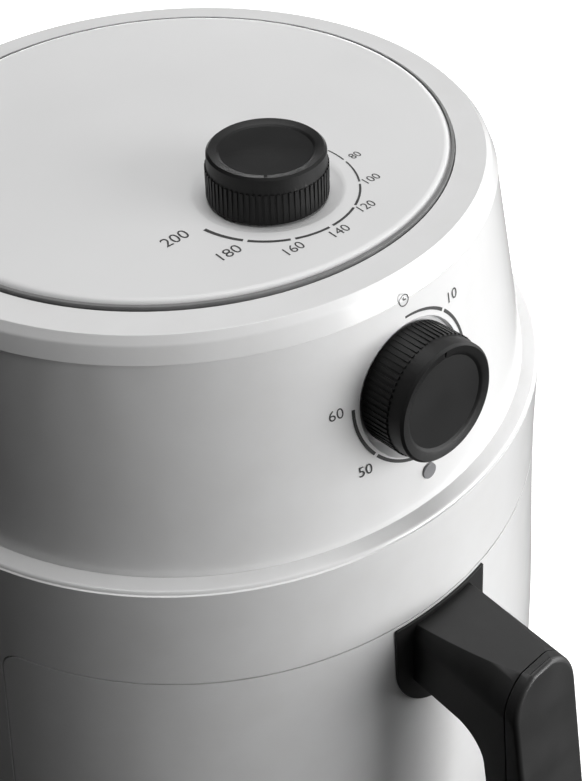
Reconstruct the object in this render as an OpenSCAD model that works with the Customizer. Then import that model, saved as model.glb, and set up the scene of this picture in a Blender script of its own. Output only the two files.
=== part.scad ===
// Round hot-air fryer with a pull-out drawer, two dials and a swept front handle.
// Millimetres, +Z up, feet on Z = 0, the drawer opens towards -Y.

/* [Housing] */
// Radius of the top disc
disc_r = 101.5; // [98:0.5:105]
// Width of the groove round the top disc
groove_w = 1.5; // [1:0.1:2]
// Width of the flat rim outside the groove
rim_w = 15.9; // [14:0.1:17]
// How much wider the upper housing is at its foot than at its rim
upper_flare = 7; // [5:0.1:9]
// Width of the ledge on which the upper housing stands
ledge_w = 6.1; // [5.5:0.1:8]
// Swell of the lower housing from its shoulder to its belly
belly_swell = 5.5; // [4:0.5:7]
// Height of the belly
belly_z = 60; // [55:1:70]
// Height of the ledge
ledge_z = 220; // [216:0.5:224]
// Height of the flat rim round the top disc
rim_z = 302.5; // [298:0.5:306]
// How far the top is set back from the lower housing
set_back = 8; // [6:0.5:9]
// Wall thickness of the mouldings
wall = 2.6; // [2.4:0.1:2.8]
// How far the edge of the top disc stands above the rim
disc_step = 2; // [1:0.5:3]
// How far the middle of the top disc rises above its edge
disc_dome = 1.5; // [1:0.5:2]
// Height of the rubber feet below the base
foot_h = 5; // [4:0.5:5.5]

/* [Drawer] */
// Distance of the drawer front's side edges in front of the housing's axis
split_y = 47; // [46:1:49]
// Height of the drawer front's lower edge
drawer_z0 = 24; // [22:1:25]
// Height of the seam above the drawer front
seam_z = 178; // [177:1:180]
// Gap round the drawer front
seam_gap = 0.6; // [0.4:0.1:0.8]
// Room between the pan's sides and the housing's inner wall
pan_room = 33.4; // [32:0.1:36]
// Straight length of each side of the pan
pan_flat = 68; // [60:1:70]
// Height of the pan's rim
pan_rim_z = 167; // [164:1:168]
// Wall thickness of the pan
pan_wall = 1.4; // [1.2:0.1:1.6]

/* [Dials] */
// Radius of a dial at its rim
dial_r = 20.5; // [20:0.25:21]
// Height of a dial
dial_h = 17.6; // [17:0.2:18]
// Distance of the temperature dial's axis from the front of the top disc
dial_inset = 49.1; // [46:0.1:52]
// Height of the timer dial's axis at the wall
timer_z = 263; // [261:0.5:264]
// Tilt of the timer dial's axis above level
timer_tilt = 5; // [4:0.5:7]
// Depth of the recess under the temperature dial
temperature_dish = 2.4; // [2.2:0.1:2.8]
// Depth of the recess under the timer dial, at its middle
timer_dish = 4.9; // [4.4:0.1:5.2]
// Number of grip ribs round a dial
rib_count = 64; // [48:4:72]
// Angle of the temperature pointer from the front, towards +X
temperature_rest = -41; // [-80:1:80]

/* [Handle] */
// Half the width of the handle's mounting plate
plate_half = 22; // [21:0.5:24]
// Height of the top of the handle's arm
arm_z = 174; // [172:0.5:175]
// Depth of the arm, top to bottom, at its root
arm_t = 25; // [22:1:27]
// Half the width of the arm and grip
grip_half = 13; // [12:0.5:15]
// How far the grip's upper corner stands in front of the housing
grip_reach = 50; // [46:1:54]
// Thickness of the grip, front to back
grip_t = 21; // [19:1:23]
// Lean of the grip, its foot outwards
grip_lean = 10; // [6:1:12]
// Height of the grip's lower end
grip_z0 = 72; // [66:1:80]

/* [Heater and fans] */
// Height of the chamber's roof
roof_z = 212; // [211:0.5:213]
// Room between the pan's sides and the heating element's outer turn
coil_room = 26; // [24:1:30]
// Distance between the heating element's two turns
coil_pitch = 18; // [16:0.5:19]
// Radius of the heating element's tube
coil_tube_r = 3.5; // [3:0.25:3.75]
// Gap between the hot-air fan and the heating element's inner turn
fan_gap = 4.5; // [4:0.5:8]
// Radius of the motor shaft
shaft_r = 3; // [2.5:0.25:3.25]
// Running clearance of the shafts in their bores
shaft_play = 0.05; // [0.03:0.01:0.1]

/* [Hidden] */
$fn = 96;

// Fits: clear is the gap between bodies that move, seat the gap between seated pieces.
clear = 0.5;
seat = 0.3;
eps = 0.01;
side = [-1, 1];

// Housing, from the top disc outwards
rim_r = disc_r + groove_w + rim_w;
upper_r = rim_r + upper_flare;
lower_r = upper_r + ledge_w;
belly_r = lower_r + belly_swell;
housing_z0 = foot_h + 1;
base_r = belly_r - 8;
base_boss_r = base_r - 31.5;
foot_ring_r = base_r - 21.5;
shoulder_drop = 15;
ledge_r = lower_r - 0.6;
ledge_drop = 0.4;
ledge_round = 1.2;
ledge_round_min = 0.3;
rim_depth = 8;
rim_bevel = 3;
rim_bottom = rim_z - rim_depth;
upper_h = rim_bottom - ledge_z;

// The upper housing's wall is a cone between its front and back lines in the side view.
front_slope = (upper_r - rim_r + set_back) / upper_h;
back_slope = (set_back - upper_r + rim_r) / upper_h;
cone_lean = (atan(front_slope) + atan(back_slope)) / 2;
cone_half = (atan(front_slope) - atan(back_slope)) / 2;
cone_top_z = 2 * upper_r / (front_slope - back_slope);
cone_top_y = front_slope * cone_top_z - upper_r;
disc_edge = 3;
disc_edge_z = rim_z + disc_step;
disc_t = 2.6;
rim_seat_z = rim_z - 5;

// Dials
temperature_y = disc_r - set_back - dial_inset;
dial_skirt = 0.7;
dial_face_r = 0.783 * dial_r;
dial_face_drop = 1.3;
dial_lip = 0.8;
dial_hollow = 11;
dial_wall = 1.6;
dial_hub_r = 6.5;
dial_gap = 0.9;
dial_band = 0.62;
dial_shaft_r = 3;
rib_w = 1.1;
rib_d = 0.55;
pointer_r = 0.885 * dial_r;
pointer_size = [1.2, 2.6, 0.8];
dish_floor_r = dial_r + 1.9;
dish_slope_w = 6;
knob_z0 = disc_edge_z + disc_dome * 0.75 - temperature_dish + dial_gap;
dish_z = knob_z0 - dial_gap;
timer_front = upper_front(timer_z) - timer_dish;
timer_depth = 34;
timer_half = 24;
bell_r = 14;
lens_drop = 32;
lens_r = 2.8;

// Drawer
pan_size = 2 * (lower_r - wall - pan_room);
pan_corner = (pan_size - pan_flat) / 2;
door_corner = 8;
bezel_t = 2;
bezel_y = split_y - 2;
liner_gap = 4;
liner_t = 1;
liner_size = pan_size + 2 * (liner_gap + liner_t);
liner_z0 = 26;
liner_front = -bezel_y + bezel_t + seat;
hood_z = seam_z + 1;
pan_z0 = 34;
pan_shift = 4;
tray_t = 2;
tray_z = pan_z0 + pan_wall + 10;
tray_size = pan_size - 2 * pan_wall - 7;
tray_corner = pan_corner - pan_wall - 3;
rim_flange = 2.5;
rim_t = 2;
web_t = 2.4;

// Handle
grip_y = lower_r + grip_reach;
plate_round_z = seam_z - plate_half;
plate_t = 2.2;
plate_top_gap = 1.5;
front_r = housing_radius(plate_round_z) + 0.05;
cover_y = grip_y - 11;
cover_gap = 0.3;
grip_round = 8;
foot_inset = 7;
foot_round = 6;

// Motor stack, upwards
guard_z = roof_z - 31;
coil_z = roof_z - 24;
coil_r = pan_size / 2 - coil_room;
coil_inner_r = coil_r - coil_pitch;
guard_r = pan_size / 2 - 10;
skirt_r = pan_size / 2 - 6;
hot_fan_r = coil_inner_r - coil_tube_r - fan_gap;
cooling_fan_r = hot_fan_r - 2;
hot_fan_z = roof_z - 17;
ledge_under_z = ledge_z - 0.9 * wall;
roof_t = 1.2;
mid_t = 1.6;
mid_z = ledge_under_z - mid_t;
cooling_fan_z = mid_z + 4;
bracket_z = cooling_fan_z + 15;
bracket_leg = (cooling_fan_r + 6.1) / sqrt(2);
bracket_half = bracket_leg + 8;
bracket_t = 2;
stator_z = bracket_z + 7;
stator_h = 20;
stator_bore = 13;
stator_x = 31;
stator_y = 25;
limb_y = 30;
top_bracket_z = stator_z + stator_h + 5;
shaft_z0 = hot_fan_z - 3;
shaft_z1 = top_bracket_z + 7;
bearing_r = 8;
probe_x = bracket_half + 4;
probe_r = 1.2;
coil_gap = 10;
thermostat_h = 21.5;
dial_boss_h = 6;
thermostat_z = dish_z - dial_boss_h - thermostat_h;
switch_z = 100;
plunger_gap = 2.5;

// Rear pieces
gland_z = 46;
gland_r = 9;
gland_out = 11;
gland_y = housing_radius(gland_z);
vent_half = 38;
vent_y = upper_r / 2;
vent_z0 = 232;
vent_z1 = 284;

// The housing's axis lies behind the middle of the part's footprint.
grip_foot_y = grip_y + (arm_z - grip_z0) * tan(grip_lean);
front_reach = grip_foot_y - foot_inset + foot_round * cos(grip_lean);
rear_reach = gland_y + gland_out;
axis_y = (front_reach - rear_reach) / 2;

module in_frame() { translate([0, axis_y, 0]) children(); }

// Points of an arc about (x, y), both end angles included.
function arc(x, y, r, a0, a1, n = 8) =
    [for (i = [0:n]) let(a = a0 + (a1 - a0) * i / n) [x + r * cos(a), y + r * sin(a)]];

// Share of the way up the upper housing's wall at height z.
function rise(z) = (z - ledge_z) / upper_h;

// Outer radius, centre and foremost point of the upper housing at height z.
function upper_radius(z) = upper_r + (rim_r - upper_r) * rise(z);
function upper_centre(z) = set_back * rise(z);
function upper_front(z) = upper_radius(z) - upper_centre(z);

// Outer radius of the lower housing at height z: a swell to the belly, then a round foot.
function housing_radius(z) = z > belly_z
    ? let(t = min((ledge_z - shoulder_drop - z) / (ledge_z - shoulder_drop - belly_z), 1))
        lower_r + (belly_r - lower_r) * (0.5 - 0.5 * cos(180 * max(t, 0)))
    : let(t = (belly_z - z) / (belly_z - housing_z0)) base_r + (belly_r - base_r) * sqrt(1 - t * t);

// Rectangle with round corners, centred.
module rounded(w, d, r) {
    square([w - 2 * r, d], center = true);
    square([w, d - 2 * r], center = true);
    for (x = side, y = side)
        translate([x * (w / 2 - r), y * (d / 2 - r)]) circle(r);
}

module rounded_plate(w, d, r, h) { linear_extrude(h) rounded(w, d, r); }

// Tube between two radii.
module tube(r1, r0, h) {
    difference() {
        cylinder(r = r1, h = h);
        translate([0, 0, -1]) cylinder(r = r0, h = h + 2);
    }
}

// Solid inside the lower housing's outer surface, drawn in by t.
module lower_solid(t) {
    z0 = housing_z0 + t;
    r = max(ledge_round - t, ledge_round_min);
    z1 = ledge_z - ledge_drop - 0.9 * t - r;
    low = [for (a = [85:-17:0]) belly_z - (belly_z - z0) * sin(a)];
    high = [for (i = [1:10]) belly_z + (z1 - belly_z) * i / 10];
    rotate_extrude($fn = 128) polygon(concat(
        [[0, z0], [base_r - t - 1, z0]],
        [for (z = concat(low, high)) [housing_radius(z) - t, z]],
        arc(ledge_r - t - r, z1, r, 10, 80, 4),
        [[upper_r + 1, ledge_z - t * 0.9], [0, ledge_z - t * 0.9]]
    ));
}

// Solid inside the upper housing's outer surface, drawn in by t: a cone that leans back.
module upper_solid(t, z0, z1) {
    inset = t / sin(cone_half);
    spare = 2 * upper_r * sin(cone_lean);
    far = cone_top_z / cos(cone_lean) + spare;
    near = (cone_top_z - upper_h) / cos(cone_lean) - spare - inset;
    intersection() {
        translate([0, cone_top_y, ledge_z + cone_top_z]) rotate([-cone_lean, 0, 0])
            translate([0, 0, -far - inset])
                cylinder(r1 = far * tan(cone_half), r2 = near * tan(cone_half), h = far - near);
        translate([-2 * upper_r, -2 * upper_r, z0]) cube([4 * upper_r, 4 * upper_r, z1 - z0]);
    }
}

// Prism of the drawer front, seen from the side, larger by g on every side.
module door_prism(g) {
    depth = 120;
    y1 = split_y - g;
    h = seam_z - drawer_z0 + 2 * g;
    translate([-lower_r - 20, -y1 - depth / 2, (seam_z + drawer_z0) / 2]) rotate([0, 90, 0])
        linear_extrude(2 * lower_r + 40) rounded(h, depth, door_corner + g);
}

// Puts children on the timer's axis: Z runs out of the wall, zero at the recess floor.
module on_timer() {
    translate([0, -timer_front, timer_z]) rotate([90 - timer_tilt, 0, 0]) children();
}

// Shallow recess with a flared edge, its floor at Z = 0, flaring by w over its depth.
module dish(depth, w) {
    cylinder(r1 = dish_floor_r, r2 = dish_floor_r + 3 * w, h = 3 * depth);
}

// ---- Base ----
module base_plate() color("dimgray") in_frame() {
    difference() {
        union() {
            translate([0, 0, foot_h]) cylinder(r = base_r - wall - 2, h = 2.4);
            for (a = [45:90:315]) rotate(a) translate([base_boss_r, 0, foot_h]) cylinder(r = 7, h = 8);
        }
        for (a = [45:90:315]) rotate(a) translate([base_boss_r, 0, foot_h - 1]) cylinder(r = 2, h = 12);
        for (i = [-5:5])
            translate([i * 9 - 2, -38, foot_h - 1]) cube([4, 76, 5]);
    }
}

module rubber_feet() color([0.1, 0.1, 0.1]) in_frame() {
    for (a = [22, 158, 202, 338]) rotate(a)
        translate([foot_ring_r, 0, 0]) cylinder(r1 = 9, r2 = 10, h = foot_h);
}

module base_screws() color("silver") in_frame() {
    for (a = [45:90:315]) rotate(a) translate([base_boss_r, 0, foot_h - 1.6]) {
        cylinder(r = 3.6, h = 1.6);
        cylinder(r = 1.9, h = 10);
    }
}

// ---- Lower housing ----
module lower_housing() color("white") in_frame() {
    difference() {
        lower_solid(0);
        lower_solid(wall);
        // open underside for the base plate
        translate([0, 0, housing_z0 - 1]) cylinder(r = base_r - wall - 1.6, h = wall + 2);
        // open top inside the ledge
        translate([0, 0, ledge_z - 12]) cylinder(r = upper_r - 8, h = 20);
        door_prism(seam_gap);
        // inlet hole
        translate([0, gland_y - 8, gland_z]) rotate([-90, 0, 0]) cylinder(r = gland_r - 2, h = 12);
    }
}

module drawer_bezel() color("gainsboro") in_frame() {
    opening_w = pan_size + 2 * liner_gap;
    difference() {
        intersection() {
            translate([-belly_r, -bezel_y, liner_z0 - 8])
                cube([2 * belly_r, bezel_t, seam_z - liner_z0 + 8]);
            lower_solid(wall + seat);
        }
        // opening for the pan, open at the top
        translate([-opening_w / 2, -bezel_y - 1, liner_z0 + liner_t])
            cube([opening_w, bezel_t + 2, seam_z]);
    }
}

// ---- Chamber ----
// Plan of the chamber.
module liner_plan(grow) {
    size = liner_size + 2 * grow;
    rounded(size, size, pan_corner + liner_gap + liner_t + grow);
}

module chamber_liner() color("silver") in_frame() {
    h = roof_z - liner_z0;
    difference() {
        translate([0, 0, liner_z0]) linear_extrude(h) liner_plan(0);
        translate([0, 0, liner_z0 + liner_t]) linear_extrude(h) liner_plan(-liner_t);
        // open front, up to the hood over the pan
        translate([-liner_size, -liner_size, liner_z0 - 1])
            cube([2 * liner_size, liner_size + liner_front, hood_z - liner_z0 + 1]);
        // hole for the safety switch's plunger
        translate([0, liner_size / 2 - 4, switch_z]) rotate([-90, 0, 0]) cylinder(r = 4, h = 8);
    }
}

module pan_rails() color("silver") in_frame() {
    x = liner_size / 2 - liner_t - 3.2;
    z = pan_rim_z - rim_t - clear - 4;
    for (s = [0, 1]) mirror([s, 0, 0])
        translate([x, -pan_flat / 2, z]) cube([3.2, pan_flat, 4]);
}

module chamber_roof() color("silver") in_frame() {
    difference() {
        translate([0, 0, roof_z]) linear_extrude(roof_t) liner_plan(1);
        translate([0, 0, roof_z - 1]) cylinder(r = shaft_r + 3, h = 4);
        at_cold_ends() translate([0, 0, roof_z - 1]) cylinder(r = 5, h = 4);
        translate([probe_x, -temperature_y, roof_z - 1]) cylinder(r = 2.5, h = 4);
    }
}

module mid_plate() color("lightgray") in_frame() {
    difference() {
        union() {
            translate([0, 0, mid_z]) cylinder(r = upper_r - 5, h = mid_t);
            // turned-down edge that stands on the chamber's roof
            translate([0, 0, roof_z + roof_t]) tube(skirt_r, skirt_r - 2, mid_z - roof_z - roof_t);
        }
        translate([0, 0, mid_z - 1]) cylinder(r = 30, h = 4);
        at_cold_ends() translate([0, 0, mid_z - 1]) cylinder(r = 6, h = 4);
        translate([probe_x, -temperature_y, mid_z - 1]) cylinder(r = 2.5, h = 4);
    }
}

// ---- Upper housing ----
module upper_housing() color("white") in_frame() {
    difference() {
        union() {
            difference() {
                upper_solid(0, ledge_z, rim_bottom);
                upper_solid(wall, ledge_z - 1, rim_bottom + 1);
            }
            // thickened wall behind the timer's recess
            intersection() {
                upper_solid(wall / 2, ledge_z, rim_bottom);
                on_timer() translate([0, 0, -wall]) cylinder(r = dish_floor_r + 6, h = 12);
            }
            // inner flange that stands on the lower housing
            translate([0, 0, ledge_z]) tube(upper_r - wall + 0.5, upper_r - 10, 2);
        }
        on_timer() {
            dish(timer_dish, 1.6);
            translate([0, 0, -10]) cylinder(r = dial_shaft_r + 2, h = 20);
        }
        on_lens() translate([0, 0, -12]) cylinder(r = lens_r + 0.05, h = 30);
        // opening for the rear vent
        translate([-vent_half, vent_y, vent_z0]) cube([2 * vent_half, upper_r, vent_z1 - vent_z0]);
    }
}

module top_rim() color("white") in_frame() {
    r0 = disc_r + groove_w;
    rb = rim_r - 0.1;
    spigot_r = rb - wall - 4 * seat;
    translate([0, set_back, 0]) rotate_extrude($fn = 128) polygon(concat(
        [[r0 - 7, rim_bottom - 2], [spigot_r, rim_bottom - 2], [spigot_r, rim_bottom],
         [rb, rim_bottom]],
        arc(rb - rim_bevel, rim_z - rim_bevel, rim_bevel, 0, 90, 6),
        [[r0, rim_z], [r0, rim_seat_z], [r0 - 7, rim_seat_z]]
    ));
}

// Height of the domed disc at radius r.
dome_r = (disc_r * disc_r + disc_dome * disc_dome) / (2 * disc_dome);
function dome_z(r) = disc_edge_z + disc_dome - dome_r + sqrt(dome_r * dome_r - r * r);

module top_cover() color("whitesmoke") in_frame() {
    steps = 8;
    edge_in = disc_r - disc_edge;
    dial_y = -temperature_y;
    difference() {
        union() {
            translate([0, set_back, 0]) rotate_extrude($fn = 128) polygon(concat(
                [[0, rim_seat_z], [disc_r, rim_seat_z]],
                arc(disc_r - disc_edge, dome_z(edge_in) - disc_edge, disc_edge, 0, 86, 6),
                [for (i = [steps:-1:0]) let(r = edge_in * i / steps) [r, dome_z(r)]]
            ));
            translate([0, dial_y, dish_z - dial_boss_h]) cylinder(r = 12, h = dial_boss_h);
        }
        translate([0, dial_y, dish_z]) dish(temperature_dish, dish_slope_w);
        translate([0, dial_y, dish_z - 12]) cylinder(r = dial_shaft_r + 1.5, h = 20);
        // hollow underside, left solid under the recess
        difference() {
            translate([0, set_back, rim_seat_z - 1])
                cylinder(r = disc_r - 12, h = disc_edge_z - disc_t - rim_seat_z + 1);
            translate([0, dial_y, rim_seat_z - 2]) cylinder(r = dish_floor_r + 10, h = 12);
        }
    }
}

module rear_vent() color("white") in_frame() {
    z0 = vent_z0 + seat;
    z1 = vent_z1 - seat;
    w = 2 * (vent_half - seat);
    pitch = 7;
    difference() {
        intersection() {
            difference() {
                upper_solid(0.4, z0, z1);
                upper_solid(wall, z0 - 1, z1 + 1);
            }
            translate([-w / 2, vent_y, z0]) cube([w, upper_r, z1 - z0]);
        }
        for (z = [z0 + 5:pitch:z1 - 6]) translate([-w / 2 + 4, vent_y, z]) cube([w - 8, upper_r, 3.4]);
    }
}

module cord_gland() color([0.12, 0.12, 0.12]) in_frame() {
    translate([0, gland_y - 5, gland_z]) rotate([-90, 0, 0]) difference() {
        union() {
            cylinder(r = gland_r - 2 - 0.05, h = 6);
            translate([0, 0, 5 + seat]) cylinder(r = gland_r, h = 2);
            translate([0, 0, 6]) cylinder(r1 = gland_r - 2, r2 = gland_r - 4, h = gland_out - 1);
        }
        translate([0, 0, -1]) cylinder(r = 3.4, h = gland_out + 10);
    }
}

// ---- Dials ----
// A dial with its base at Z = 0 and its pointer towards -Y.
module dial() {
    rb = dial_r + dial_skirt;
    band_z = dial_h * dial_band;
    taper = dial_skirt / dial_h;
    difference() {
        union() {
            rotate_extrude() polygon([
                [0, 0], [rb, 0], [dial_r + 0.1, dial_h - dial_lip], [dial_r - dial_lip, dial_h],
                [dial_face_r + 1.2, dial_h - 0.5], [dial_face_r, dial_h - dial_face_drop],
                [0, dial_h - dial_face_drop]
            ]);
            for (i = [0:rib_count - 1]) rotate(i * 360 / rib_count)
                translate([rb - taper * band_z - 1, -rib_w / 2, 0.6]) cube([1 + rib_d, rib_w, band_z]);
        }
        translate([0, 0, -1]) difference() {
            cylinder(r = dial_r - dial_wall - 1, h = dial_hollow + 1);
            cylinder(r = dial_hub_r, h = dial_hollow + 2);
        }
        translate([0, 0, -1]) cylinder(r = dial_shaft_r, h = dial_hollow + 1);
        translate([-pointer_size[0] / 2, -pointer_r - pointer_size[1] / 2, dial_h - pointer_size[2]])
            cube(pointer_size);
    }
}

module temperature_knob() color([0.16, 0.16, 0.17]) in_frame() {
    translate([0, -temperature_y, knob_z0]) rotate(temperature_rest) dial();
}

module thermostat_shaft() color("silver") in_frame() {
    z0 = thermostat_z + 8;
    translate([0, -temperature_y, z0]) cylinder(r = dial_shaft_r, h = knob_z0 + dial_hollow - z0);
}

module thermostat() color("tan") in_frame() {
    translate([0, -temperature_y, thermostat_z]) difference() {
        union() {
            translate([-17, -15, 0]) cube([34, 30, 18]);
            translate([-20, -16, 18]) cube([40, 32, 1.5]);
            cylinder(r = 6.5, h = thermostat_h);
        }
        translate([0, 0, 7]) cylinder(r = dial_shaft_r + shaft_play, h = 16);
    }
}

module thermostat_bulb() color("peru") in_frame() {
    bulb_z = roof_z - 6;
    case_z = thermostat_z + 8;
    arm_r = probe_r - 0.2;
    translate([probe_x, -temperature_y, bulb_z - probe_r])
        cylinder(r = probe_r, h = case_z + 2 * probe_r - bulb_z);
    translate([17, -temperature_y, case_z]) rotate([0, 90, 0]) cylinder(r = arm_r, h = probe_x - 17);
    translate([probe_x, -temperature_y, bulb_z]) rotate([90, 0, 0]) {
        cylinder(r = arm_r, h = 8);
        translate([0, 0, 8]) cylinder(r = 3, h = 26);
    }
}

module timer_knob() color([0.16, 0.16, 0.17]) in_frame() {
    on_timer() translate([0, 0, dial_gap]) rotate(180) dial();
}

module timer_shaft() color("silver") in_frame() {
    on_timer() translate([0, 0, -24]) cylinder(r = dial_shaft_r, h = 24 + dial_gap + dial_hollow);
}

module timer_case() color("gainsboro") in_frame() {
    on_timer() translate([0, 0, -wall - timer_depth]) difference() {
        union() {
            translate([-timer_half, -timer_half, 0]) cube([2 * timer_half, 2 * timer_half, timer_depth - 2]);
            cylinder(r = 8, h = timer_depth);
        }
        translate([0, 0, 8]) cylinder(r = dial_shaft_r + shaft_play, h = 30);
    }
}

module timer_bell() color("silver") in_frame() {
    on_timer() translate([0, 0, -wall - timer_depth]) rotate([180, 0, 0]) difference() {
        union() {
            cylinder(r = 2.5, h = 12);
            translate([0, 0, 4]) cylinder(r1 = bell_r, r2 = bell_r - 4, h = 8);
        }
        translate([0, 0, 3]) tube(bell_r - 5, 2.5, 7.8);
    }
}

// The lens stands a little proud of the wall, under the timer dial.
module on_lens() {
    z = timer_z - lens_drop;
    translate([0, -upper_front(z), z]) rotate([90 - timer_tilt, 0, 0]) children();
}

module indicator_lens() color("gray") in_frame() {
    on_lens() translate([0, 0, -7]) cylinder(r = lens_r, h = 7.6);
}

module indicator_lamp() color("orange") in_frame() {
    on_lens() translate([0, 0, -7 - 9]) {
        cylinder(r = 2.4, h = 9);
        translate([0, 0, -5]) cylinder(r = 3.2, h = 5);
    }
}

// ---- Heater ----
// Places where the element's cold ends go up through the roof.
module at_cold_ends() {
    for (r = [coil_r, coil_inner_r]) rotate(90 - coil_gap) translate([r, 0, 0]) children();
}

module heating_element() color("dimgray") in_frame() {
    knuckle_r = coil_tube_r + 0.2;
    for (r = [coil_r, coil_inner_r]) rotate(90 + coil_gap) translate([0, 0, coil_z])
        rotate_extrude(angle = 360 - 2 * coil_gap) translate([r, 0]) circle(coil_tube_r);
    // link between the turns
    rotate(90 + coil_gap) translate([coil_inner_r, 0, coil_z]) {
        rotate([0, 90, 0]) cylinder(r = coil_tube_r - 0.4, h = coil_r - coil_inner_r);
        for (x = [0, coil_r - coil_inner_r]) translate([x, 0, 0]) sphere(knuckle_r);
    }
    at_cold_ends() translate([0, 0, coil_z]) {
        sphere(knuckle_r);
        cylinder(r = coil_tube_r - 0.5, h = mid_z + 12 - coil_z);
    }
}

module element_brackets() color("silver") in_frame() {
    z = coil_z + coil_tube_r + seat;
    for (a = [-30, 210]) rotate(a) {
        translate([coil_r - 24, -4, z]) cube([30, 8, 1]);
        translate([coil_r + 5, -4, z]) cube([1, 8, roof_z - z]);
    }
}

module fan_guard() color("silver") in_frame() {
    wire = 1.6;
    translate([0, 0, guard_z]) {
        for (i = [0:4]) rotate_extrude() translate([guard_r - 17.5 * i, 0]) square(wire, center = true);
        for (a = [0:60:120]) rotate(a) translate([-guard_r, -wire / 2, -wire / 2])
            cube([2 * guard_r, wire, wire]);
    }
    for (a = [30, 150, 210, 330]) rotate(a) translate([guard_r, 0, guard_z])
        cylinder(r = 1, h = roof_z - guard_z, $fn = 16);
}

module hot_air_fan() color("silver") in_frame() {
    blades = 10;
    h = 12;
    translate([0, 0, hot_fan_z]) difference() {
        union() {
            translate([0, 0, h - 1]) cylinder(r = hot_fan_r, h = 1);
            cylinder(r = 8, h = h);
            for (i = [0:blades - 1]) rotate(i * 360 / blades)
                translate([10, 5, 0]) rotate(-20) cube([hot_fan_r - 14, 1, h - 0.5]);
        }
        translate([0, 0, -1]) cylinder(r = shaft_r, h = h + 2);
    }
}

module fan_shaft() color("silver") in_frame() {
    translate([0, 0, shaft_z0]) cylinder(r = shaft_r, h = shaft_z1 - shaft_z0);
}

module cooling_fan() color("ivory") in_frame() {
    blades = 8;
    h = 10;
    translate([0, 0, cooling_fan_z]) difference() {
        union() {
            cylinder(r = 12, h = h);
            for (i = [0:blades - 1]) rotate(i * 360 / blades)
                translate([10, 0, h / 2]) rotate([35, 0, 0]) translate([0, -7, -0.7])
                    cube([cooling_fan_r - 10, 14, 1.4]);
        }
        translate([0, 0, -1]) cylinder(r = shaft_r, h = h + 2);
    }
}

// ---- Motor ----
module motor_rotor() color("silver") in_frame() {
    translate([0, 0, stator_z]) tube(stator_bore - 0.6, shaft_r, stator_h);
}

module motor_stator() color("slategray") in_frame() {
    translate([0, 0, stator_z]) difference() {
        translate([-stator_x, -stator_y, 0]) cube([2 * stator_x, 2 * stator_y + 14, stator_h]);
        translate([0, 0, -1]) cylinder(r = stator_bore, h = stator_h + 2);
        // window in front of the limb that carries the coil
        translate([-20, limb_y - 10, -1]) cube([40, 10, stator_h + 2]);
    }
}

// Winding round the stator's rear limb.
module motor_coil() color("darkorange") in_frame() {
    thick = 4;
    limb_d = stator_y + 14 - limb_y;
    translate([-17, limb_y - thick - seat, stator_z - thick]) difference() {
        cube([34, limb_d + 2 * (thick + seat), stator_h + 2 * thick]);
        translate([-1, thick, thick]) cube([36, limb_d + 2 * seat, stator_h]);
    }
}

module motor_bracket() color("lightgray") in_frame() {
    difference() {
        union() {
            translate([0, 0, bracket_z]) rounded_plate(2 * bracket_half, 2 * bracket_half, 8, bracket_t);
            for (x = side, y = side)
                translate([x * bracket_leg, y * bracket_leg, mid_z + mid_t])
                    cylinder(r = 3, h = bracket_z - mid_z - mid_t);
            // studs that carry the stator
            for (s = side) translate([s * (stator_x - 5), 0, bracket_z])
                cylinder(r = 3, h = stator_z - bracket_z);
        }
        translate([0, 0, bracket_z - 1]) cylinder(r = bearing_r, h = 5);
    }
}

module motor_top_bracket() color("lightgray") in_frame() {
    difference() {
        union() {
            translate([-stator_x, -10, top_bracket_z]) cube([2 * stator_x, 20, bracket_t]);
            for (s = side) translate([s * (stator_x - 5), 0, stator_z + stator_h])
                cylinder(r = 3, h = top_bracket_z - stator_z - stator_h);
        }
        translate([0, 0, top_bracket_z - 1]) cylinder(r = bearing_r, h = 5);
    }
}

module motor_bearings() color("goldenrod") in_frame() {
    for (z = [bracket_z, top_bracket_z]) translate([0, 0, z - 1.5])
        tube(bearing_r, shaft_r + shaft_play, 5);
}

module motor_screws() color("silver") in_frame() {
    for (s = side) translate([s * (stator_x - 5), 0, top_bracket_z + bracket_t])
        cylinder(r = 3.4, h = 2.2);
    for (x = side, y = side)
        translate([x * bracket_leg, y * bracket_leg, bracket_z + bracket_t])
            cylinder(r = 3.2, h = 2);
}

// ---- Drawer ----
module pan_plan(grow) {
    s = pan_size + 2 * grow;
    translate([0, -pan_shift]) rounded(s, s, pan_corner + grow);
}

module drawer_front() color("white") in_frame() {
    web_z = pan_rim_z - rim_t - web_t;
    difference() {
        union() {
            intersection() {
                difference() {
                    lower_solid(0);
                    // hollow behind the skin, inside a return along all four edges
                    intersection() {
                        lower_solid(wall);
                        translate([0, -wall, 0]) door_prism(-wall);
                    }
                }
                door_prism(0);
            }
            intersection() {
                lower_solid(wall - 0.2);
                union() {
                    // web that carries the pan's rim
                    translate([-belly_r, -belly_r, web_z])
                        cube([2 * belly_r, belly_r - split_y - 1, web_t]);
                    // two brackets between the skin and the pan's front wall
                    for (s = side) translate([s * 20 - 3, -belly_r, 70])
                        cube([6, belly_r - pan_size / 2 - pan_shift, 70]);
                }
            }
        }
        // the pan's place, open at the top
        translate([0, 0, pan_z0 - 1]) linear_extrude(pan_rim_z) pan_plan(eps);
        translate([0, 0, web_z + web_t]) linear_extrude(30) pan_plan(rim_flange + seat);
    }
}

module pan() color([0.1, 0.1, 0.1]) in_frame() {
    difference() {
        union() {
            translate([0, 0, pan_z0]) linear_extrude(pan_rim_z - pan_z0) pan_plan(0);
            translate([0, 0, pan_rim_z - rim_t]) linear_extrude(rim_t) pan_plan(rim_flange);
        }
        translate([0, 0, pan_z0 + pan_wall]) linear_extrude(pan_rim_z) pan_plan(-pan_wall);
    }
}

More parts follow.
